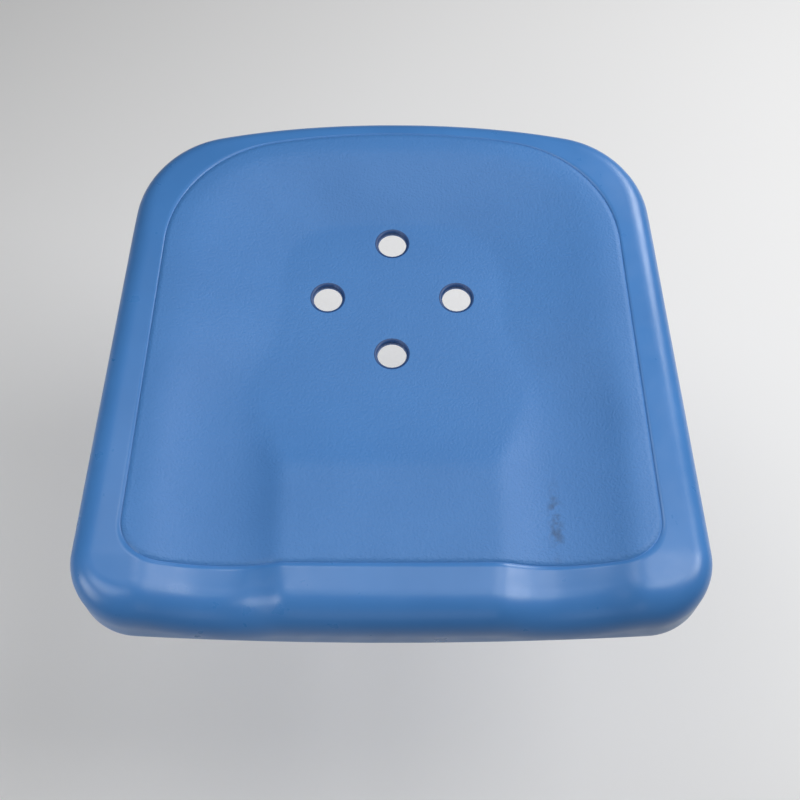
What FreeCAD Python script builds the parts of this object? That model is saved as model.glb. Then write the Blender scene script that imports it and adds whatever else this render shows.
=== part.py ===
"""Contoured seat unit of a shower chair, in millimetres.

The seat is a double-walled moulding: a sculpted top shell and an underside shell that meet along
a seam hidden on the bottom face. The underside rises in one wide well below the drain holes,
where the two walls are pinched together, and in small hollow cones that carry the top shell.
Four snap clips under the seat hold the side rails of the chair's frame. A countersunk screw
holds each clip to a brass insert in a boss of the underside.

+X is to the right as seen from the front, +Y points to the back of the chair and +Z is up. The
origin is below the middle of the seat, on the plane that the clips' lower edges touch.
"""

import FreeCAD, Part
import math
import os

from FreeCAD import Vector

# ---------------------------------------------------------------- driving dimensions

SHELL_HEIGHT = 50.0         # from the underside to the rim
WALL = 3.0                  # moulded wall

RAIL_RADIUS = 11.0          # the chair's frame is of 22 mm tube
RAIL_X = 140.0
CLIP_WALL = 3.2
CLIP_LENGTH = 26.0
CLIP_WRAP = 120.0           # the clip holds the rail this many degrees to each side of its top
CLIP_PAD = 6.1              # from the rail up to the seat
CLIP_PAD_HALF = 11.0
CLIP_Y = {"front": -118.0, "rear": 92.0}

# The clips' lower edges touch the z = 0 plane, and all heights follow from that.
LIP_CENTRE = RAIL_RADIUS + CLIP_WALL / 2
RAIL_Z = LIP_CENTRE * math.cos(math.radians(180.0 - CLIP_WRAP)) + CLIP_WALL / 2
BASE = RAIL_Z + RAIL_RADIUS + CLIP_PAD
RIM = BASE + SHELL_HEIGHT

# Plan outlines. The halves are the half widths where the side meets the front and the back edge
# before the corners are rounded, and the bows say how far those two edges curve outwards.
OUTLINE = {
    "front_half": 206.0, "rear_half": 181.5, "front": -193.5, "rear": 193.5,
    "front_bow": 7.0, "rear_bow": 24.5, "front_corner": 42.0, "rear_corner": 71.0,
}
FIELD = {                   # the incised line round the sitting area
    "front_half": 172.0, "rear_half": 156.0, "front": -148.0, "rear": 177.0,
    "front_bow": 1.5, "rear_bow": 27.0, "front_corner": 26.0, "rear_corner": 90.0,
}
LINE_WIDTH = 1.4
LINE_DEPTH = 0.7
TOP_ROUND = 18.0            # the roll from the top into the side wall
SURFACE_STEP = 16.0         # spacing of the heights that the sculpted top is drawn through
BOTTOM_ROUND = 9.0
SEAM_INSET = 16.0           # the seam runs this far inside the outline

# The sculpted top. Depths are below the rim.
BOWL_DEPTH = 15.0
BOWL_Y = 45.0
BOWL_REACH = 117.0          # from there to the crest at the back
BOWL_FOOT = 0.52            # where the bowl's wall starts, as a share of the way to the crest
CORNER_POWER = 3.4          # how square the bowl's rear corners are
HOLLOW_DEPTH = 11.5         # the thigh hollows
HOLLOW_X = 112.0
HOLLOW_BLEND = (-70.0, 40.0)
CREST_FRONT = 153.0         # half widths at the top of the outer wall
CREST_REAR = 147.0
CREST_ROUND = 4.0
POMMEL_DEPTH = 4.5
POMMEL_WALL = 0.0058
POMMEL_ROUND = 7.0
POMMEL_BACK = (-86.0, -18.0)

DRAIN_RADIUS = 10.0
DRAIN_RIM = 2.3             # width and depth of each drain hole's tapered edge
DRAIN_CIRCLE = 45.0         # the drain holes' centres lie on a circle of this radius
DRAIN_Y = 45.0              # middle of that circle

WELL_BASE = 72.0            # half widths of the well's wall, at its mouth and at its roof
WELL_ROOF = 62.0
WELL_LONGER = 4.0           # the well's half length is this much more than its half width
WELL_Y = 49.0
WELL_CORNER = 8.0
WELL_WALL = 1.5             # thickness of the underside where it is pinched to the top

TACK_BASE = 18.0
TACK_NECK = 9.0
TACK_WALL = 2.0             # thickness of a cone's roof below the top shell
TACK_PLACES = [
    (42.0, -134.0), (98.0, -96.0), (36.0, -86.0), (104.0, -42.0), (112.0, 30.0), (100.0, 118.0),
]

SCREW_RADIUS = 2.4
SCREW_HEAD = 4.9
SCREW_HEAD_HEIGHT = 2.7
SCREW_HEAD_Z = RAIL_Z + RAIL_RADIUS + 0.2
SCREW_LENGTH = 15.0
HEX_KEY = 3.0

INSERT_BORE = 2.5
INSERT_RADIUS = 3.6
INSERT_FLANGE = 4.8
INSERT_LENGTH = 10.0
BOSS_RADIUS = 8.0
BOSS_CAP = 2.0

BUMPER_HEAD = 9.0
BUMPER_HEIGHT = 6.0
BUMPER_STEM = 4.0
BUMPER_BARB = 5.6
BUMPER_BARB_HEIGHT = 4.5
BUMPER_EDGE = 1.2           # bevel of the foot and of the barb
BUMPER_PLACES = {"front": (84.0, -152.0), "rear": (44.0, 150.0)}

PLUG_HEAD = 7.0
PLUG_STEM = 4.0
PLUG_HEAD_HEIGHT = 1.5
PLUG_BARB = 4.9
PLUG_BARB_HEIGHT = 3.0
PLUG_EDGE = 0.8
PLUG_PLACE = (150.0, 0.0)

SIDES = {"left": -1.0, "right": 1.0}
FAR = 600.0                 # longer than the seat, for cutting tools
UP = Vector(0, 0, 1)

# ---------------------------------------------------------------- the sculpted top


def ease(start, end, value):
    """0 before start, 1 after end, with a smooth rise between."""
    t = min(max((value - start) / (end - start), 0.0), 1.0)
    return t * t * t * (t * (6.0 * t - 15.0) + 10.0)


def mix(a, b, t):
    """The value a share t of the way from a to b."""
    return a + (b - a) * t


def soft_min(a, b, soft):
    """The lower of two heights, with the edge between them rounded."""
    if soft <= 0.0:
        return min(a, b)
    near = max(soft - abs(a - b), 0.0) / soft
    return min(a, b) - near * near * soft / 4.0


def seat_height(x, y):
    """Height of the sculpted top before its edges are rounded."""
    across = abs(x)
    front = 1.0 - ease(HOLLOW_BLEND[0], HOLLOW_BLEND[1], y)
    crest = mix(CREST_REAR, CREST_FRONT, front)
    share = across / crest
    if y > BOWL_Y:
        along = (y - BOWL_Y) / BOWL_REACH
        share = (share**CORNER_POWER + along**CORNER_POWER) ** (1.0 / CORNER_POWER)
    foot = mix(BOWL_FOOT, HOLLOW_X / crest, front)
    deepest = mix(BOWL_DEPTH, HOLLOW_DEPTH, front)
    deepest += 3.5 * max(0.0, (-135.0 - y) / 55.0) ** 2
    if share > foot:
        rise = deepest * ((share - foot) / (1.0 - foot)) ** mix(1.2, 2.0, front)
    else:
        start, end = POMMEL_BACK
        top = deepest - POMMEL_DEPTH
        pommel = soft_min(top * max(0.0, (end - y) / (end - start)) ** 2, top, 1.2)
        wall = POMMEL_WALL * (foot * crest - across) ** 2
        rise = soft_min(wall, pommel, min(POMMEL_ROUND, pommel))
    rear = ease(90.0, 150.0, y)
    fall = mix(0.05, 0.14, rear) * max(0.0, share - 1.0) * mix(crest, BOWL_REACH, rear)
    fall += 0.08 * max(0.0, -148.0 - y)
    return soft_min(RIM - deepest + rise, RIM, CREST_ROUND) - fall


def top_surface(drop):
    """The sculpted top as one smooth surface, lowered by drop."""
    columns = [SURFACE_STEP * i for i in range(-14, 15)]
    rows = [SURFACE_STEP * j for j in range(-13, 14)]
    points = [[Vector(x, y, seat_height(x, y) - drop) for y in rows] for x in columns]
    surface = Part.BSplineSurface()
    surface.interpolate(points)
    return surface.toShape()


# ---------------------------------------------------------------- outline and solids


def standing_edges(solid):
    """The solid's straight upright edges."""
    found = []
    for edge in solid.Edges:
        a, b = edge.Vertexes[0].Point, edge.Vertexes[-1].Point
        if abs(a.x - b.x) < 1e-6 and abs(a.y - b.y) < 1e-6 and abs(a.z - b.z) > 1e-6:
            found.append(edge)
    return found


def plan_face(plan):
    """A plan outline as a flat face on the z = 0 plane."""
    front_y = plan["front"] + plan["front_bow"]
    rear_y = plan["rear"] - plan["rear_bow"]
    corners = [
        Vector(-plan["front_half"], front_y, 0),
        Vector(plan["front_half"], front_y, 0),
        Vector(plan["rear_half"], rear_y, 0),
        Vector(-plan["rear_half"], rear_y, 0),
    ]
    edges = [
        Part.Arc(corners[0], Vector(0, plan["front"], 0), corners[1]).toShape(),
        Part.LineSegment(corners[1], corners[2]).toShape(),
        Part.Arc(corners[2], Vector(0, plan["rear"], 0), corners[3]).toShape(),
        Part.LineSegment(corners[3], corners[0]).toShape(),
    ]
    solid = Part.Face(Part.Wire(edges)).extrude(UP)
    front = [e for e in standing_edges(solid) if e.BoundBox.YMax < 0]
    solid = solid.makeFillet(plan["front_corner"], front)
    rear = [e for e in standing_edges(solid) if e.BoundBox.YMin > rear_y - 1.0]
    solid = solid.makeFillet(plan["rear_corner"], rear)
    return next(f for f in solid.Faces if f.BoundBox.ZMax < 1e-6)


def inset_face(plan, inset):
    """A plan outline's face, drawn in by inset."""
    face = plan_face(plan)
    if inset == 0:
        return face
    return Part.Face(face.OuterWire.makeOffset2D(-inset))


def pillow(inset):
    """The seat's outer form, or the same form drawn in by inset on every side."""
    base = BASE + inset
    face = inset_face(OUTLINE, inset)
    face.translate(Vector(0, 0, base))
    above = top_surface(inset).extrude(Vector(0, 0, 2 * SHELL_HEIGHT))
    solid = face.extrude(Vector(0, 0, 2 * SHELL_HEIGHT - inset)).cut(above).Solids[0]
    top_edges = [e for e in solid.Edges if e.BoundBox.ZMin > base + 1.0]
    solid = solid.makeFillet(TOP_ROUND - inset, top_edges)
    bottom_edges = [e for e in solid.Edges if e.BoundBox.ZMax < base + 1e-3]
    return solid.makeFillet(BOTTOM_ROUND - inset, bottom_edges).Solids[0]


def slab(plan, inset, low, high):
    """A flat slab in the shape of a plan outline drawn in by inset."""
    face = inset_face(plan, inset)
    face.translate(Vector(0, 0, low))
    return face.extrude(Vector(0, 0, high - low))


def turned(profile, x=0.0, y=0.0):
    """A solid of revolution about an upright axis at (x, y), from (radius, z) pairs."""
    points = [Vector(r, 0, z) for r, z in profile]
    face = Part.Face(Part.makePolygon(points + points[:1]))
    solid = face.revolve(Vector(), UP, 360)
    solid.translate(Vector(x, y, 0))
    return solid


def upright(x, y, low, radius, height):
    """An upright cylinder that stands on the height low."""
    return Part.makeCylinder(radius, height, Vector(x, y, low))


def fused(solids):
    """All solids as one."""
    whole = solids[0]
    for solid in solids[1:]:
        whole = whole.fuse(solid)
    return whole.removeSplitter()


def cut_all(solid, tools):
    """The solid less every tool."""
    for tool in tools:
        solid = solid.cut(tool)
    return solid


# ---------------------------------------------------------------- places


def drain_places():
    """Centres of the four drain holes, one towards each edge of the seat."""
    r = DRAIN_CIRCLE
    return [(0.0, DRAIN_Y + r), (-r, DRAIN_Y), (r, DRAIN_Y), (0.0, DRAIN_Y - r)]


def both_sides(x, y):
    """A place and its mirror image."""
    return [(side * x, y) for side in SIDES.values()]


def boss_places():
    """Centres of the bosses that hold the brass inserts."""
    return [place for y in CLIP_Y.values() for place in both_sides(RAIL_X, y)]


def bumper_places():
    """Name and centre of each rubber bumper."""
    places = {}
    for end, (x, y) in BUMPER_PLACES.items():
        for name, side in SIDES.items():
            places[f"{end}_{name}"] = (side * x, y)
    return places


# ---------------------------------------------------------------- shells


def drain_hole(x, y):
    """The tool that cuts one drain hole with a tapered top edge."""
    floor = seat_height(x, y)
    wide = DRAIN_RADIUS + 2 * DRAIN_RIM
    above = floor + DRAIN_RIM
    below = floor - DRAIN_RIM
    return turned([(0, 0), (DRAIN_RADIUS, 0), (DRAIN_RADIUS, below), (wide, above), (0, above)], x, y)


def incised_line():
    """The tool that cuts the shallow line round the sitting area."""
    ring = slab(FIELD, 0.0, BASE + WALL, RIM + 1.0).cut(slab(FIELD, LINE_WIDTH, BASE, RIM + 2.0))
    below = top_surface(LINE_DEPTH).extrude(Vector(0, 0, -2 * SHELL_HEIGHT))
    return ring.cut(below)


def seat_top_shell(outer, cavity):
    """The sculpted upper wall, the side walls and the lip that turns in under the seat."""
    shell = outer.cut(cavity).cut(slab(OUTLINE, SEAM_INSET, BASE - 1.0, BASE + WALL + 1.0))
    shell = shell.cut(incised_line())
    return cut_all(shell, [drain_hole(x, y) for x, y in drain_places()])


def cone_pair(x, y, base, neck, pit_top):
    """A hollow cone of the underside: its solid, and the pit inside it that opens downwards."""
    slope = (base - neck) / (pit_top - BASE)
    tip = base - slope * (RIM - BASE)
    outer = turned([(0, BASE), (base, BASE), (tip, RIM), (0, RIM)], x, y)
    side_wall = WALL - 0.5
    low = BASE - 1.0
    mouth = base + slope - side_wall
    pit = turned([(0, low), (mouth, low), (neck - side_wall, pit_top), (0, pit_top)], x, y)
    return outer, pit


def well_outline(half, z):
    """The well's outline at one height: a rectangle with round corners."""
    side = half - WELL_CORNER
    low = WELL_Y - side - WELL_LONGER
    high = WELL_Y + side + WELL_LONGER
    points = [Vector(-side, low, z), Vector(side, low, z), Vector(side, high, z), Vector(-side, high, z)]
    return Part.makePolygon(points + points[:1]).makeOffset2D(WELL_CORNER)


def well_pair(roof):
    """The well below the drain holes: its solid, and the pit inside it that opens downwards."""
    slope = (WELL_BASE - WELL_ROOF) / (roof - BASE)
    tip = WELL_BASE - slope * (RIM - BASE)
    outer = Part.makeLoft([well_outline(WELL_BASE, BASE), well_outline(tip, RIM)], True, True)
    side_wall = WALL - 0.5
    mouth = well_outline(WELL_BASE + slope - side_wall, BASE - 1.0)
    pit = Part.makeLoft([mouth, well_outline(WELL_ROOF - side_wall, roof)], True, True)
    return outer, pit


def lowest_ceiling(x, y, radius):
    """Lowest height of the top shell's inner face over a disc."""
    around = [math.radians(30 * k) for k in range(12)]
    heights = [seat_height(x + radius * math.cos(a), y + radius * math.sin(a)) for a in around]
    return min(heights) - WALL


def seat_bottom_shell(cavity):
    """The underside: floor, well, cones and insert bosses."""
    well_roof = RIM - BOWL_DEPTH - WALL - WELL_WALL
    cones = [well_pair(well_roof)]
    for place in TACK_PLACES:
        for x, y in both_sides(*place):
            tack_roof = lowest_ceiling(x, y, TACK_NECK) - TACK_WALL
            cones.append(cone_pair(x, y, TACK_BASE, TACK_NECK, tack_roof))
    boss_height = INSERT_LENGTH + BOSS_CAP
    bosses = [upright(x, y, BASE, BOSS_RADIUS, boss_height) for x, y in boss_places()]
    floor = slab(OUTLINE, SEAM_INSET, BASE, BASE + WALL)
    shell = fused([floor] + [outer.common(cavity) for outer, pit in cones] + bosses)
    tools = [pit for outer, pit in cones]
    tools += [upright(x, y, 0.0, DRAIN_RADIUS, RIM) for x, y in drain_places()]
    tools += [insert_form(x, y) for x, y in boss_places()]
    tools += [upright(x, y, 0.0, BUMPER_STEM, BASE + 2 * WALL) for x, y in bumper_places().values()]
    tools += [upright(x, y, 0.0, PLUG_STEM, BASE + 2 * WALL) for x, y in both_sides(*PLUG_PLACE)]
    return cut_all(shell, tools)


# ---------------------------------------------------------------- hardware


def insert_form(x, y):
    """A brass insert's outside: a flange, two gripping bands and the groove between them."""
    z = BASE
    r, neck = INSERT_RADIUS, INSERT_RADIUS - 0.5
    profile = [
        (0, z), (INSERT_FLANGE, z), (INSERT_FLANGE, z + 0.8), (r, z + 0.8), (r, z + 4.2),
        (neck, z + 4.2), (neck, z + 5.6), (r, z + 5.6), (r, z + 9.2), (neck, z + INSERT_LENGTH),
        (0, z + INSERT_LENGTH),
    ]
    return turned(profile, x, y)


def threaded_insert(x, y):
    """A brass insert with its bore."""
    return insert_form(x, y).cut(Part.makeCylinder(INSERT_BORE, FAR, Vector(x, y, 0)))


def clip_screw(x, y):
    """A countersunk screw, driven upwards, with a hexagon socket in its head."""
    z = SCREW_HEAD_Z
    tip = z + SCREW_LENGTH
    profile = [
        (0, z), (SCREW_HEAD, z), (SCREW_RADIUS, z + SCREW_HEAD_HEIGHT), (SCREW_RADIUS, tip - 0.6),
        (SCREW_RADIUS - 0.6, tip), (0, tip),
    ]
    screw = turned(profile, x, y)
    corner = HEX_KEY / math.sqrt(3.0)
    angles = [math.radians(60 * k) for k in range(7)]
    points = [Vector(x + corner * math.cos(a), y + corner * math.sin(a), z - 0.1) for a in angles]
    return screw.cut(Part.Face(Part.makePolygon(points)).extrude(Vector(0, 0, 2.0)))


def clip_mouth():
    """The wedge below a clip where the rail snaps in."""
    half = math.radians(180.0 - CLIP_WRAP)
    reach = 3 * RAIL_RADIUS
    points = [
        Vector(0, -CLIP_LENGTH, 0),
        Vector(-reach * math.sin(half), -CLIP_LENGTH, -reach * math.cos(half)),
        Vector(reach * math.sin(half), -CLIP_LENGTH, -reach * math.cos(half)),
    ]
    return Part.Face(Part.makePolygon(points + points[:1])).extrude(Vector(0, 2 * CLIP_LENGTH, 0))


def clip_lips():
    """The round bead along each end of a clip's ring, which leads the rail in."""
    half = math.radians(180.0 - CLIP_WRAP)
    lips = []
    for side in SIDES.values():
        centre = Vector(side * LIP_CENTRE * math.sin(half), -CLIP_LENGTH / 2, -LIP_CENTRE * math.cos(half))
        lips.append(Part.makeCylinder(CLIP_WALL / 2, CLIP_LENGTH, centre, Vector(0, 1, 0)))
    return lips


def tube_clip(x, y):
    """A snap clip: an open ring round the rail, with a pad on its crown that carries the seat."""
    start = Vector(0, -CLIP_LENGTH / 2, 0)
    along = Vector(0, 1, 0)
    ring = Part.makeCylinder(RAIL_RADIUS + CLIP_WALL, CLIP_LENGTH, start, along)
    pad_top = RAIL_RADIUS + CLIP_PAD
    pad = Part.makeBox(2 * CLIP_PAD_HALF, CLIP_LENGTH, pad_top, Vector(-CLIP_PAD_HALF, -CLIP_LENGTH / 2, 0))
    body = ring.fuse(pad).removeSplitter()
    body = body.cut(Part.makeCylinder(RAIL_RADIUS, CLIP_LENGTH, start, along))
    body = body.cut(clip_mouth())
    corners = [e for e in standing_edges(body) if e.BoundBox.ZMax > pad_top - 1e-3]
    body = body.makeFillet(3.0, corners)
    body = fused([body] + clip_lips())
    body.translate(Vector(x, y, RAIL_Z))
    z = SCREW_HEAD_Z
    seat_radius = SCREW_HEAD + 0.1
    hole = SCREW_RADIUS + 0.3
    profile = [
        (0, RAIL_Z), (seat_radius, RAIL_Z), (seat_radius, z), (hole, z + SCREW_HEAD_HEIGHT),
        (hole, RIM), (0, RIM),
    ]
    return body.cut(turned(profile, x, y))


def rubber_bumper(x, y):
    """A push-in bumper: a round foot, a stem through the underside and a barb above it."""
    low = BASE - BUMPER_HEIGHT
    above = BASE + WALL
    tip = above + BUMPER_BARB_HEIGHT
    edge = BUMPER_EDGE
    profile = [
        (0, low), (BUMPER_HEAD - edge, low), (BUMPER_HEAD, low + edge), (BUMPER_HEAD, BASE),
        (BUMPER_STEM, BASE), (BUMPER_STEM, above), (BUMPER_BARB, above), (BUMPER_STEM - edge, tip),
        (0, tip),
    ]
    return turned(profile, x, y)


def blow_hole_plug(x, y):
    """The plug that closes a hole left by the blowing needle."""
    low = BASE - PLUG_HEAD_HEIGHT
    above = BASE + WALL
    tip = above + PLUG_BARB_HEIGHT
    edge = PLUG_EDGE
    profile = [
        (0, low), (PLUG_HEAD - edge, low), (PLUG_HEAD, low + edge), (PLUG_HEAD, BASE),
        (PLUG_STEM, BASE), (PLUG_STEM, above), (PLUG_BARB, above), (PLUG_STEM - edge, tip), (0, tip),
    ]
    return turned(profile, x, y)


# ---------------------------------------------------------------- all sub-parts


def seat_parts():
    """Every sub-part by its name."""
    outer, cavity = pillow(0.0), pillow(WALL)
    parts = {
        "seat_top_shell": seat_top_shell(outer, cavity),
        "seat_bottom_shell": seat_bottom_shell(cavity),
    }
    for end, y in CLIP_Y.items():
        for name, side in SIDES.items():
            place = (side * RAIL_X, y)
            parts[f"tube_clip_{end}_{name}"] = tube_clip(*place)
            parts[f"clip_screw_{end}_{name}"] = clip_screw(*place)
            parts[f"threaded_insert_{end}_{name}"] = threaded_insert(*place)
    for name, place in bumper_places().items():
        parts[f"rubber_bumper_{name}"] = rubber_bumper(*place)
    for name, place in zip(SIDES, both_sides(*PLUG_PLACE)):
        parts[f"blow_hole_plug_{name}"] = blow_hole_plug(*place)
    return parts


def main():
    os.makedirs("parts", exist_ok=True)
    for name, shape in seat_parts().items():
        solids = shape.Solids
        whole = solids[0] if len(solids) == 1 else Part.makeCompound(solids)
        whole.exportStep(f"parts/{name}.step")
        box = whole.BoundBox
        size = f"{box.XLength:.1f} x {box.YLength:.1f} x {box.ZLength:.1f}"
        print(f"{name}: {len(solids)} solid, {size}, {whole.Volume / 1000:.1f} cm3, valid {whole.isValid()}")


main()
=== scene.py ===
# Contoured shower chair seat: a blue double-walled moulding with its clips and bumpers.
# Shapes are worked in millimetres and brought to metres as each piece is finished.

import math

import bmesh
import bpy
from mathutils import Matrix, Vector


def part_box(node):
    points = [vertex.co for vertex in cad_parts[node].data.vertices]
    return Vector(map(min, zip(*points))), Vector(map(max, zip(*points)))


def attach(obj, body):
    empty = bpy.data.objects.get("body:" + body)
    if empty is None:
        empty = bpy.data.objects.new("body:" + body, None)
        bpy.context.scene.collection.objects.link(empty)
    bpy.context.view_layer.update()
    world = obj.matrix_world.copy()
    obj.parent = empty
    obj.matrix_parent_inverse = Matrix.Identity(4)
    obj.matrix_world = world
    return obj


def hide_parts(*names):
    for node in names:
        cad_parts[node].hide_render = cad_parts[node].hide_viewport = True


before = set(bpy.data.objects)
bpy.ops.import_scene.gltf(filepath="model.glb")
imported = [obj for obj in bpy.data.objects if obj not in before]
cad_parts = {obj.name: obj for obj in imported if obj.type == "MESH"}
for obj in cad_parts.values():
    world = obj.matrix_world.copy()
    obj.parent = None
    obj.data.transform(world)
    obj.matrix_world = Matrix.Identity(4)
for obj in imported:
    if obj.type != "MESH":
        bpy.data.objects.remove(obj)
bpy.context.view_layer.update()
mm = 0.001
topLow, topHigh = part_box("seat_top_shell")
print("frame loaded")


# ---- the seat's top

seatTop = {
    "base": topLow.z / mm,            # underside of the moulding
    "rim": topLow.z / mm + 50.0,      # height of the rim
    "wall": 3.0,
    "bottomRound": 8.0,
    "lipWidth": 16.0,                 # the lip that turns in under the seat
    "lineWidth": 1.5,                 # incised line round the sitting area
    "lineDepth": 0.75,
    "spacing": 3.0,                   # mesh size across the sitting area
    "columns": 110,
    "rows": 108,
    "middleY": 15.0,
    "frontRoll": 24.0,                # radius of the rolled edge
    "sideRoll": 17.0,
    "rearRoll": 14.0,
}
outline = {
    "frontHalf": 206.0, "rearHalf": 181.5, "front": -193.5, "rear": 193.5,
    "frontBow": 7.0, "rearBow": 24.5, "frontCorner": 42.0, "rearCorner": 71.0,
}
field = {
    "frontHalf": 171.0, "rearHalf": 156.0, "front": -152.5, "rear": 177.0,
    "frontBow": 1.5, "rearBow": 27.0, "frontCorner": 26.0, "rearCorner": 90.0,
}
drain = {"radius": 10.0, "rim": 2.3, "circle": 45.0, "y": 45.0, "block": 12.0, "fade": 24.0}


# 0 at the start and 1 at the end, level at both
def ease(start, end, value):
    t = min(max((value - start) / (end - start), 0.0), 1.0)
    return t * t * t * (t * (6.0 * t - 15.0) + 10.0)


def mix(a, b, t):
    return a + (b - a) * t


sculpt = {
    "bowlDepth": 15.0,
    "hollowDepth": 12.8,              # thigh hollows, below the rim
    "hollowX": 104.0,
    "hollowStart": (-70.0, 40.0),     # the bowl turns into two hollows between these two places
    "crestFront": 153.0,              # half widths at the top of the outer wall
    "crestRear": 147.0,
    "bowlY": 45.0,
    "bowlReach": 117.0,               # from there to the crest at the back
    "bowlFoot": 0.52,                 # where the wall starts, as a share of the way to the crest
    "cornerPower": 3.4,
    "pommelDrop": 4.5,                # below the rim
    "pommelWall": 0.0080,
    "pommelRound": 3.0,
    "pommelBack": (-86.0, -18.0),     # its back slope falls between these two places
    "crestRound": 4.0,
    "curves": (1.2, 2.0),             # power of the outer wall's rise, in the bowl and in the hollows
    "pommelBackRound": 1.2,
    "frontDip": 3.5,                  # the hollows get this much deeper over the last stretch
    "frontDipFrom": -135.0,
    "frontDipOver": 55.0,
    "rearMargin": (90.0, 150.0),      # the rim's outward fall changes between these two places
    "rimFall": (0.05, 0.14),          # from the side to the rear
    "frontFall": 0.08,
    "frontFallFrom": -148.0,
}


# the lower of two heights, with the edge between them rounded
def softMin(a, b, soft):
    if soft <= 0.0:
        return min(a, b)
    near = max(soft - abs(a - b), 0.0) / soft
    return min(a, b) - near * near * soft / 4.0


# height of the sculpted top, with the thigh hollows, the pommel and the bowl
def seatHeight(x, y):
    rim = seatTop["rim"]
    across = abs(x)
    front = 1.0 - ease(sculpt["hollowStart"][0], sculpt["hollowStart"][1], y)
    crest = mix(sculpt["crestRear"], sculpt["crestFront"], front)
    share = across / crest
    if y > sculpt["bowlY"]:
        power = sculpt["cornerPower"]
        share = (share ** power + ((y - sculpt["bowlY"]) / sculpt["bowlReach"]) ** power) ** (1.0 / power)
    foot = mix(sculpt["bowlFoot"], sculpt["hollowX"] / crest, front)
    deepest = mix(sculpt["bowlDepth"], sculpt["hollowDepth"], front)
    dip = max(0.0, (sculpt["frontDipFrom"] - y) / sculpt["frontDipOver"])
    deepest += sculpt["frontDip"] * dip ** 2
    if share > foot:
        rise = deepest * ((share - foot) / (1.0 - foot)) ** mix(*sculpt["curves"], front)
    else:
        pommel = deepest - sculpt["pommelDrop"]
        start, end = sculpt["pommelBack"]
        slope = pommel * max(0.0, (end - y) / (end - start)) ** 2
        pommel = softMin(slope, pommel, sculpt["pommelBackRound"])
        wall = sculpt["pommelWall"] * (foot * crest - across) ** 2
        rise = softMin(wall, pommel, min(sculpt["pommelRound"], pommel))
    rear = ease(*sculpt["rearMargin"], y)
    fall = mix(*sculpt["rimFall"], rear) * max(0.0, share - 1.0) * mix(crest, sculpt["bowlReach"], rear)
    fall += sculpt["frontFall"] * max(0.0, sculpt["frontFallFrom"] - y)
    return softMin(rim - deepest + rise, rim, sculpt["crestRound"]) - fall


# the circles and lines that a plan outline is made of
def planShape(plan):
    frontY = plan["front"] + plan["frontBow"]
    rearY = plan["rear"] - plan["rearBow"]
    frontArc = (plan["frontHalf"] ** 2 + plan["frontBow"] ** 2) / (2.0 * plan["frontBow"])
    rearArc = (plan["rearHalf"] ** 2 + plan["rearBow"] ** 2) / (2.0 * plan["rearBow"])
    sideStart = Vector((plan["frontHalf"], frontY))
    along = (Vector((plan["rearHalf"], rearY)) - sideStart)
    sideLength = along.length
    along.normalize()
    shape = {
        "sideStart": sideStart,
        "sideOut": Vector((along.y, -along.x)),
        "ends": {
            "front": (Vector((0.0, plan["front"] + frontArc)), frontArc, plan["frontCorner"]),
            "rear": (Vector((0.0, plan["rear"] - rearArc)), rearArc, plan["rearCorner"]),
        },
        "corners": [],
    }
    for name, (middle, arc, corner) in shape["ends"].items():
        outside, inside = (0.0, sideLength / 2) if name == "front" else (sideLength, sideLength / 2)
        for _ in range(50):
            trial = (outside + inside) / 2
            centre = sideStart + along * trial - shape["sideOut"] * corner
            if (centre - middle).length > arc - corner:
                outside = trial
            else:
                inside = trial
        shape["corners"].append((centre, corner, (centre - middle).normalized()))
    return shape


# signed distance from a plan outline, negative inside it
def planDistance(shape, x, y):
    point = Vector((abs(x), y))
    for centre, corner, endOut in shape["corners"]:
        away = point - centre
        turn = shape["sideOut"].cross(endOut)
        fromSide = shape["sideOut"].cross(away)
        fromEnd = away.cross(endOut)
        if fromSide * turn >= 0 and fromEnd * turn >= 0:
            return away.length - corner
    distances = [(point - shape["sideStart"]).dot(shape["sideOut"])]
    distances += [(point - middle).length - arc for middle, arc, corner in shape["ends"].values()]
    return max(distances)


# how far a plan outline is from the middle of the sitting area, in one direction
def planReach(shape, direction):
    low, high = 0.0, 320.0
    for _ in range(40):
        trial = (low + high) / 2
        if planDistance(shape, direction.x * trial, seatTop["middleY"] + direction.y * trial) < 0:
            low = trial
        else:
            high = trial
    return low


def planNormal(shape, point):
    step = 0.05
    across = planDistance(shape, point.x + step, point.y) - planDistance(shape, point.x - step, point.y)
    along = planDistance(shape, point.x, point.y + step) - planDistance(shape, point.x, point.y - step)
    return Vector((across, along)).normalized()


outlineShape = planShape(outline)
fieldShape = planShape(field)


def drainPlaces():
    r = drain["circle"]
    return [(0.0, drain["y"] + r), (-r, drain["y"]), (r, drain["y"]), (0.0, drain["y"] - r)]


# turns the square block of mesh round each drain hole into rings round it
def roundTheDrains(vert):
    for holeX, holeY in drainPlaces():
        dx, dy = vert.co.x - holeX, vert.co.y - holeY
        square = max(abs(dx), abs(dy))
        if square < 1e-6 or square >= drain["fade"]:
            continue
        ring = square * (drain["radius"] + drain["rim"]) / drain["block"] / math.hypot(dx, dy)
        blend = ease(drain["block"], drain["fade"], square)
        factor = mix(ring, 1.0, blend)
        vert.co.x = holeX + dx * factor
        vert.co.y = holeY + dy * factor


# stretches the rectangular grid to the outline of the sitting area
def fitToField(vert, halfWidth, halfDepth):
    away = Vector((vert.co.x, vert.co.y - seatTop["middleY"]))
    share = max(abs(away.x) / halfWidth, abs(away.y) / halfDepth)
    if share < 0.5:
        return
    straight = away.length / share
    factor = 1.0 + ease(0.5, 1.0, share) * (planReach(fieldShape, away.normalized()) / straight - 1.0)
    vert.co.x = away.x * factor
    vert.co.y = seatTop["middleY"] + away.y * factor


def boundaryEdges(bm):
    return [e for e in bm.edges if e.is_boundary]


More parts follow.
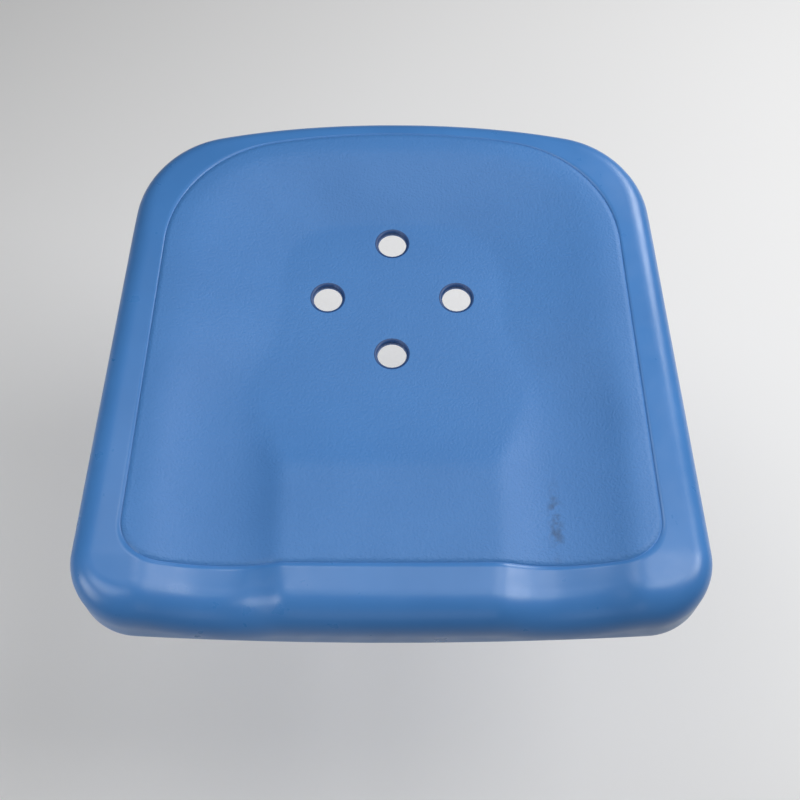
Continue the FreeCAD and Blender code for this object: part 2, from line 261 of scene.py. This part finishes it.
# one more ring of faces outside the given edges, with its vertices put in place by the caller
def addRing(bm, edges, place):
    made = bmesh.ops.extrude_edge_only(bm, edges=edges)["geom"]
    verts = [v for v in made if isinstance(v, bmesh.types.BMVert)]
    for vert in verts:
        place(vert)
    return [e for e in made if isinstance(e, bmesh.types.BMEdge)]


# the radius of the rolled edge, which is largest at the front
def rollRadius(normal):
    front = max(0.0, -normal.y) ** 2
    rear = max(0.0, normal.y) ** 2
    side = 1.0 - front - rear
    return seatTop["frontRoll"] * front + seatTop["rearRoll"] * rear + seatTop["sideRoll"] * side


# the rings of the rim: a kind, how far along it, and how deep in the line or the wall; outer skin first
def rimSections():
    wall, bottom = seatTop["wall"], seatTop["bottomRound"]
    lineShares = [(0.22, 0.6), (0.5, 1.0), (0.78, 0.6), (1.0, 0.0)]
    sections = [("line", share, deep) for share, deep in lineShares]
    sections += [("margin", k / 6, 0.0) for k in range(1, 7)]
    sections += [("roll", math.radians(9 * k), 0.0) for k in range(1, 11)]
    sections += [("side", k / 5, 0.0) for k in range(1, 6)]
    sections += [("foot", math.radians(15 * k), 0.0) for k in range(1, 7)]
    sections += [("lip", k / 2, 0.0) for k in range(1, 3)]
    sections += [("lip", k / 2, wall) for k in range(2, 0, -1)]
    sections += [("foot", math.radians(22.5 * k), wall) for k in range(4, -1, -1)]
    sections += [("roll", math.radians(15 * k), wall) for k in range(6, 0, -1)]
    sections += [("margin", k / 3, wall) for k in range(3, 0, -1)]
    return sections


# plan place and height of one vertex of a ring, from the section it belongs to
def sectionPoint(section, spoke):
    kind, share, extra = section
    start, edge, normal, fieldNormal = spoke
    roll = rollRadius(normal)
    rollStart = edge - normal * roll
    top = seatHeight(rollStart.x, rollStart.y)
    if kind == "line":
        at = start + fieldNormal * seatTop["lineWidth"] * share
        return at, seatHeight(at.x, at.y) - seatTop["lineDepth"] * extra
    if kind == "margin":
        lineEnd = start + fieldNormal * seatTop["lineWidth"]
        at = lineEnd.lerp(rollStart, share)
        return at, seatHeight(at.x, at.y) - extra
    if kind == "roll":
        radius = roll - extra
        return edge - normal * (roll - radius * math.sin(share)), top - roll + radius * math.cos(share)
    foot = seatTop["bottomRound"]
    base = seatTop["base"]
    if kind == "side":
        return edge, mix(top - roll, base + foot, share)
    if kind == "foot":
        radius = foot - extra
        return edge - normal * (foot - radius * math.cos(share)), base + foot - radius * math.sin(share)
    return edge - normal * mix(foot, seatTop["lipWidth"], share), base + extra


# the seat's top, with its drain holes, rolled rim and inner skin
def makeSeatTop():
    bm = bmesh.new()
    halfWidth = seatTop["columns"] * seatTop["spacing"] / 2
    halfDepth = seatTop["rows"] * seatTop["spacing"] / 2
    bmesh.ops.create_grid(bm, x_segments=seatTop["columns"], y_segments=seatTop["rows"], size=1.0)
    bmesh.ops.scale(bm, vec=(halfWidth, halfDepth, 1.0), verts=bm.verts)
    bmesh.ops.translate(bm, vec=(0.0, seatTop["middleY"], 0.0), verts=bm.verts)
    inner = []
    for holeX, holeY in drainPlaces():
        for face in bm.faces:
            middle = face.calc_center_median()
            if max(abs(middle.x - holeX), abs(middle.y - holeY)) < drain["block"]:
                inner.append(face)
    bmesh.ops.delete(bm, geom=inner, context="FACES")
    outside = {}
    for vert in bm.verts:
        share = max(abs(vert.co.x) / halfWidth, abs(vert.co.y - seatTop["middleY"]) / halfDepth)
        outside[vert] = share > 1.0 - 1e-4
        roundTheDrains(vert)
        fitToField(vert, halfWidth, halfDepth)
        vert.co.z = seatHeight(vert.co.x, vert.co.y)
    rimEdges = [e for e in boundaryEdges(bm) if all(outside[v] for v in e.verts)]
    drainEdges = [e for e in boundaryEdges(bm) if not any(outside[v] for v in e.verts)]

    # a second sheet below the first is the inside of the wall
    upper = list(bm.faces)
    copied = bmesh.ops.duplicate(bm, geom=bm.verts[:] + bm.edges[:] + bm.faces[:])
    lowerFaces = [g for g in copied["geom"] if isinstance(g, bmesh.types.BMFace)]
    lowerVerts = [g for g in copied["geom"] if isinstance(g, bmesh.types.BMVert)]
    bmesh.ops.translate(bm, vec=(0.0, 0.0, -seatTop["wall"]), verts=lowerVerts)
    bmesh.ops.reverse_faces(bm, faces=lowerFaces)
    edgeMap = copied["edge_map"]
    lowerRim = [edgeMap[e] for e in rimEdges]
    lowerDrain = [edgeMap[e] for e in drainEdges]

    # the rounded edge of each drain hole, then its wall
    ring = drainEdges
    for step in range(1, 7):
        turn = math.radians(15 * step)

        def place(vert, turn=turn):
            holeX, holeY = min(drainPlaces(), key=lambda p: math.hypot(vert.co.x - p[0], vert.co.y - p[1]))
            radial = Vector((vert.co.x - holeX, vert.co.y - holeY)).normalized()
            top = seatHeight(
                holeX + radial.x * (drain["radius"] + drain["rim"]),
                holeY + radial.y * (drain["radius"] + drain["rim"]),
            )
            radius = drain["radius"] + drain["rim"] * (1.0 - math.sin(turn))
            height = top - drain["rim"] * (1.0 - math.cos(turn))
            vert.co = (holeX + radial.x * radius, holeY + radial.y * radius, height)

        ring = addRing(bm, ring, place)

    def deepen(vert):
        vert.co.z -= seatTop["wall"] - drain["rim"]

    ring = addRing(bm, ring, deepen)
    for holeX, holeY in drainPlaces():
        hole = Vector((holeX, holeY))
        reach = drain["block"] * 1.5
        around = [e for e in ring + lowerDrain if (e.verts[0].co.to_2d() - hole).length < reach]
        bmesh.ops.bridge_loops(bm, edges=around)

    # the rings of the rim, from the incised line over the edge, under the seat and back inside
    spokes = {}
    for vert in {v for e in rimEdges for v in e.verts}:
        start = vert.co.to_2d()
        direction = (start - Vector((0.0, seatTop["middleY"]))).normalized()
        edge = Vector((0.0, seatTop["middleY"])) + direction * planReach(outlineShape, direction)
        spokes[vert] = (start, edge, planNormal(outlineShape, edge), planNormal(fieldShape, start))
    ring = rimEdges
    for section in rimSections():
        made = bmesh.ops.extrude_edge_only(bm, edges=ring)["geom"]
        newVerts = [g for g in made if isinstance(g, bmesh.types.BMVert)]
        newSpokes = {}
        for vert in newVerts:
            old = next(e.other_vert(vert) for e in vert.link_edges if e.other_vert(vert) in spokes)
            newSpokes[vert] = spokes[old]
        for vert in newVerts:
            at, height = sectionPoint(section, newSpokes[vert])
            vert.co = (at.x, at.y, height)
        spokes = newSpokes
        ring = [g for g in made if isinstance(g, bmesh.types.BMEdge)]
    bmesh.ops.bridge_loops(bm, edges=ring + lowerRim)
    for face in bm.faces:
        face.smooth = True
        face.material_index = 1
    for face in upper + lowerFaces:
        face.material_index = 0
    # faces near each drain hole take material 2, the darker blue painted as shade in the holes
    for face in bm.faces:
        middle = face.calc_center_median()
        reach = drain["radius"] + 0.9 * drain["rim"]
        if any(math.hypot(middle.x - x, middle.y - y) < reach for x, y in drainPlaces()):
            face.material_index = 2
    bmesh.ops.scale(bm, vec=(mm, mm, mm), verts=bm.verts)
    return bm


# a finished piece from a bmesh
def makePiece(name, bm, materials, slotName, *replaced):
    mesh = bpy.data.meshes.new(name)
    bm.to_mesh(mesh)
    bm.free()
    for material in materials:
        mesh.materials.append(material)
    piece = bpy.data.objects.new(name, mesh)
    bpy.context.scene.collection.objects.link(piece)
    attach(piece, "root")
    if replaced:
        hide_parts(*replaced)
    return piece


# ---- materials

mouldedBlue = {
    "colour": (0.062, 0.212, 0.525, 1.0),
    "darker": (0.054, 0.190, 0.478, 1.0),
    "fieldRoughness": 0.52,
    "rimRoughness": 0.30,
    "grainScale": 620.0,
    "rippleScale": 45.0,
}
# painted shade: a darker blue for the faces round the drain holes, standing for the shade inside them
paintedDrainShade = {
    "colour": (0.018, 0.066, 0.200, 1.0),
    "darker": (0.014, 0.052, 0.170, 1.0),
    "rimRoughness": 0.42,
}
undersideBlue = {
    "colour": (0.066, 0.190, 0.48, 1.0),
    "darker": (0.056, 0.165, 0.43, 1.0),
    "rimRoughness": 0.46,
}
wear = {
    "colour": (0.034, 0.085, 0.190, 1.0),
    "at": (0.105, -0.122, 0.0),       # a dark rub mark in the right thigh hollow
    "half": (0.0065, 0.032, 0.05),
}


def newMaterial(name):
    material = bpy.data.materials.new(name)
    material.use_nodes = True
    nodes = material.node_tree.nodes
    shader = nodes["Principled BSDF"]
    place = nodes.new("ShaderNodeTexCoord")
    return material, nodes, material.node_tree.links, shader, place


# noise in the piece's own space
def addNoise(nodes, links, place, scale, detail):
    noise = nodes.new("ShaderNodeTexNoise")
    noise.inputs["Scale"].default_value = scale
    noise.inputs["Detail"].default_value = detail
    links.new(place.outputs["Object"], noise.inputs["Vector"])
    return noise


# brings a value's range from (0, 1) to the range given
def addRange(nodes, links, source, low, high, start=0.3, end=0.7):
    scaled = nodes.new("ShaderNodeMapRange")
    scaled.inputs["From Min"].default_value = start
    scaled.inputs["From Max"].default_value = end
    scaled.inputs["To Min"].default_value = low
    scaled.inputs["To Max"].default_value = high
    links.new(source, scaled.inputs["Value"])
    return scaled.outputs["Result"]


# a blend of two colours, each a fixed colour or a node's output
def addMix(nodes, links, factor, first, second):
    blend = nodes.new("ShaderNodeMixRGB")
    links.new(factor, blend.inputs["Fac"])
    for value, socket in ((first, blend.inputs["Color1"]), (second, blend.inputs["Color2"])):
        if isinstance(value, tuple):
            socket.default_value = value
        else:
            links.new(value, socket)
    return blend.outputs["Color"]


def addBump(nodes, links, height, distance, strength, before=None):
    bump = nodes.new("ShaderNodeBump")
    bump.inputs["Distance"].default_value = distance
    bump.inputs["Strength"].default_value = strength
    links.new(height, bump.inputs["Height"])
    if before:
        links.new(before, bump.inputs["Normal"])
    return bump.outputs["Normal"]


# a soft-edged patch with a ragged outline, 1 in its middle and 0 outside it
def addRubMark(nodes, links, place):
    mapping = nodes.new("ShaderNodeMapping")
    mapping.vector_type = "TEXTURE"
    mapping.inputs["Location"].default_value = wear["at"]
    mapping.inputs["Scale"].default_value = wear["half"]
    links.new(place.outputs["Object"], mapping.inputs["Vector"])
    flat = nodes.new("ShaderNodeVectorMath")
    flat.operation = "MULTIPLY"
    flat.inputs[1].default_value = (1.0, 1.0, 0.0)
    links.new(mapping.outputs["Vector"], flat.inputs[0])
    length = nodes.new("ShaderNodeVectorMath")
    length.operation = "LENGTH"
    links.new(flat.outputs["Vector"], length.inputs[0])
    near = addRange(nodes, links, length.outputs["Value"], 1.0, 0.0, 0.1, 1.0)
    ragged = addNoise(nodes, links, place, 170.0, 5.0)
    rough = addRange(nodes, links, ragged.outputs["Fac"], 0.0, 1.0, 0.42, 0.66)
    mark = nodes.new("ShaderNodeMath")
    mark.operation = "MULTIPLY"
    links.new(near, mark.inputs[0])
    links.new(rough, mark.inputs[1])
    return mark.outputs["Value"]


# the fine-grained sitting area
def makeGrainedBlue():
    material, nodes, links, shader, place = newMaterial("grainedBlue")
    mottle = addNoise(nodes, links, place, 14.0, 3.0)
    specks = addNoise(nodes, links, place, mouldedBlue["grainScale"] * 0.6, 2.0)
    broad = addRange(nodes, links, mottle.outputs["Fac"], 0.0, 1.0)
    fine = addRange(nodes, links, specks.outputs["Fac"], 0.0, 0.35)
    colour = addMix(nodes, links, broad, mouldedBlue["colour"], mouldedBlue["darker"])
    colour = addMix(nodes, links, fine, colour, mouldedBlue["darker"])
    colour = addMix(nodes, links, addRubMark(nodes, links, place), colour, wear["colour"])
    links.new(colour, shader.inputs["Base Color"])
    low, high = mouldedBlue["fieldRoughness"] - 0.03, mouldedBlue["fieldRoughness"] + 0.04
    links.new(addRange(nodes, links, mottle.outputs["Fac"], low, high), shader.inputs["Roughness"])
    grain = addNoise(nodes, links, place, mouldedBlue["grainScale"], 3.0)
    normal = addBump(nodes, links, grain.outputs["Fac"], 0.0005, 0.9)
    links.new(normal, shader.inputs["Normal"])
    return material


# the smoother rim, faintly rippled as blown plastic is
def makeSatinBlue(name, look):
    material, nodes, links, shader, place = newMaterial(name)
    mottle = addNoise(nodes, links, place, 18.0, 3.0)
    broad = addRange(nodes, links, mottle.outputs["Fac"], 0.0, 1.0)
    links.new(addMix(nodes, links, broad, look["colour"], look["darker"]), shader.inputs["Base Color"])
    smudges = addNoise(nodes, links, place, 70.0, 5.0)
    low, high = look["rimRoughness"] - 0.03, look["rimRoughness"] + 0.06
    smudged = addRange(nodes, links, smudges.outputs["Fac"], low, high)
    links.new(smudged, shader.inputs["Roughness"])
    ripple = addNoise(nodes, links, place, mouldedBlue["rippleScale"], 2.0)
    grain = addNoise(nodes, links, place, 1400.0, 2.0)
    rippled = addBump(nodes, links, ripple.outputs["Fac"], 0.0008, 0.10)
    links.new(addBump(nodes, links, grain.outputs["Fac"], 0.0001, 0.12, rippled), shader.inputs["Normal"])
    return material


hardware = {
    "clipNylon": {"colour": (0.020, 0.021, 0.024, 1.0), "darker": (0.014, 0.015, 0.017, 1.0),
                  "metal": 0.0, "roughness": 0.38, "scale": 120.0, "bump": 0.10},
    "screwSteel": {"colour": (0.58, 0.58, 0.59, 1.0), "darker": (0.46, 0.46, 0.47, 1.0),
                   "metal": 1.0, "roughness": 0.28, "scale": 900.0, "bump": 0.08},
    "insertBrass": {"colour": (0.72, 0.50, 0.20, 1.0), "darker": (0.58, 0.39, 0.15, 1.0),
                    "metal": 1.0, "roughness": 0.30, "scale": 700.0, "bump": 0.10},
    "bumperRubber": {"colour": (0.024, 0.025, 0.027, 1.0), "darker": (0.038, 0.038, 0.039, 1.0),
                     "metal": 0.0, "roughness": 0.78, "scale": 350.0, "bump": 0.30},
    "plugPlastic": {"colour": (0.075, 0.215, 0.54, 1.0), "darker": (0.064, 0.19, 0.49, 1.0),
                    "metal": 0.0, "roughness": 0.34, "scale": 160.0, "bump": 0.12},
}


def makeHardware(name):
    look = hardware[name]
    material, nodes, links, shader, place = newMaterial(name)
    noise = addNoise(nodes, links, place, look["scale"], 4.0)
    broad = addRange(nodes, links, noise.outputs["Fac"], 0.0, 1.0)
    links.new(addMix(nodes, links, broad, look["colour"], look["darker"]), shader.inputs["Base Color"])
    low, high = look["roughness"] - 0.05, look["roughness"] + 0.05
    links.new(addRange(nodes, links, noise.outputs["Fac"], low, high), shader.inputs["Roughness"])
    shader.inputs["Metallic"].default_value = look["metal"]
    links.new(addBump(nodes, links, noise.outputs["Fac"], 0.0003, look["bump"]), shader.inputs["Normal"])
    return material


# puts one material on every CAD node whose name starts in the given way, and bevels its edges if asked
def dress(start, material, edge):
    for name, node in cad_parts.items():
        if name.startswith(start):
            node.data.materials.clear()
            node.data.materials.append(material)
            if edge:
                bevel = node.modifiers.new("edges", "BEVEL")
                bevel.width = edge
                bevel.segments = 2
                bevel.limit_method = "ANGLE"
                bevel.angle_limit = math.radians(35.0)


grainedBlue = makeGrainedBlue()
satinBlue = makeSatinBlue("satinBlue", mouldedBlue)
# the drain holes' edges get a darker blue, painted shade in the holes
drainShadeBlue = makeSatinBlue("drainShadeBlue", paintedDrainShade)
seatMaterials = [grainedBlue, satinBlue, drainShadeBlue]
seatPiece = makePiece("seatTop", makeSeatTop(), seatMaterials, "seat_blue", "seat_top_shell")
print("seat top made:", len(seatPiece.data.polygons), "faces")

dress("seat_bottom_shell", makeSatinBlue("underBlue", undersideBlue), 0.0)
dress("tube_clip", makeHardware("clipNylon"), 0.0003)
dress("clip_screw", makeHardware("screwSteel"), 0.0001)
dress("threaded_insert", makeHardware("insertBrass"), 0.0001)
dress("rubber_bumper", makeHardware("bumperRubber"), 0.0003)
dress("blow_hole_plug", makeHardware("plugPlastic"), 0.0002)
print("underside and hardware dressed")


# ---- camera, lights and floor

view = {"lens": 57.3, "distance": 0.866, "elevation": 63.4, "aimX": 0.0055, "aimY": -0.030, "aimZ": 0.050}


def makeCamera():
    data = bpy.data.cameras.new("camera")
    data.lens = view["lens"]
    data.sensor_width = 36.0
    camera = bpy.data.objects.new("camera", data)
    bpy.context.scene.collection.objects.link(camera)
    lift = math.radians(view["elevation"])
    back = Vector((0.0, -math.cos(lift), math.sin(lift)))
    camera.location = Vector((view["aimX"], view["aimY"], view["aimZ"])) + back * view["distance"]
    camera.rotation_euler = (math.radians(90.0) - lift, 0.0, 0.0)
    bpy.context.scene.camera = camera


ground = {"height": -0.378, "half": 6.0, "colour": (0.93, 0.93, 0.93, 1.0), "roughness": 0.8}


def makeFloor():
    bm = bmesh.new()
    bmesh.ops.create_grid(bm, x_segments=1, y_segments=1, size=ground["half"])
    bmesh.ops.translate(bm, vec=(0.0, 0.0, ground["height"]), verts=bm.verts)
    mesh = bpy.data.meshes.new("floor")
    bm.to_mesh(mesh)
    bm.free()
    floor = bpy.data.objects.new("floor", mesh)
    material, nodes, links, shader, place = newMaterial("floorWhite")
    shader.inputs["Base Color"].default_value = ground["colour"]
    shader.inputs["Roughness"].default_value = ground["roughness"]
    mesh.materials.append(material)
    bpy.context.scene.collection.objects.link(floor)


softLights = {
    "backRight": {"at": (0.961, 0.961, 0.684), "size": 0.6, "power": 9.0},
    "right": {"at": (1.149, 0.0, 1.014), "size": 0.6, "power": 8.8},
    "highRight": {"at": (0.562, 0.0, 1.441), "size": 0.6, "power": 5.4},
    "highLeft": {"at": (-0.397, 0.397, 1.441), "size": 0.6, "power": 2.0},
    "frontLeft": {"at": (-1.300, -0.650, 0.360), "size": 0.6, "power": 5.2},
    "front": {"at": (0.0, -1.359, 0.684), "size": 0.6, "power": 0.7},
    "nearLeft": {"at": (-0.46, -0.30, 0.50), "size": 0.22, "power": 0.7},
    "nearBackLeft": {"at": (-0.24, 0.12, 0.95), "size": 0.3, "power": 0.9},
    "above": {"at": (0.0, 0.05, 1.5), "size": 0.5, "power": 1.2},
}


def makeLights():
    for name, light in softLights.items():
        data = bpy.data.lights.new(name, "AREA")
        data.shape = "SQUARE"
        data.size = light["size"]
        data.energy = light["power"]
        lamp = bpy.data.objects.new(name, data)
        lamp.location = light["at"]
        aim = Vector((0.0, 0.0, view["aimZ"])) - Vector(light["at"])
        lamp.rotation_euler = aim.to_track_quat("-Z", "Y").to_euler()
        bpy.context.scene.collection.objects.link(lamp)
    world = bpy.data.worlds.new("studio")
    world.use_nodes = True
    world.node_tree.nodes["Background"].inputs["Color"].default_value = (1.0, 1.0, 1.0, 1.0)
    world.node_tree.nodes["Background"].inputs["Strength"].default_value = 0.02
    bpy.context.scene.world = world


makeCamera()
makeFloor()
makeLights()
bpy.context.scene.view_settings.view_transform = "Standard"
print("camera, lights and floor made")
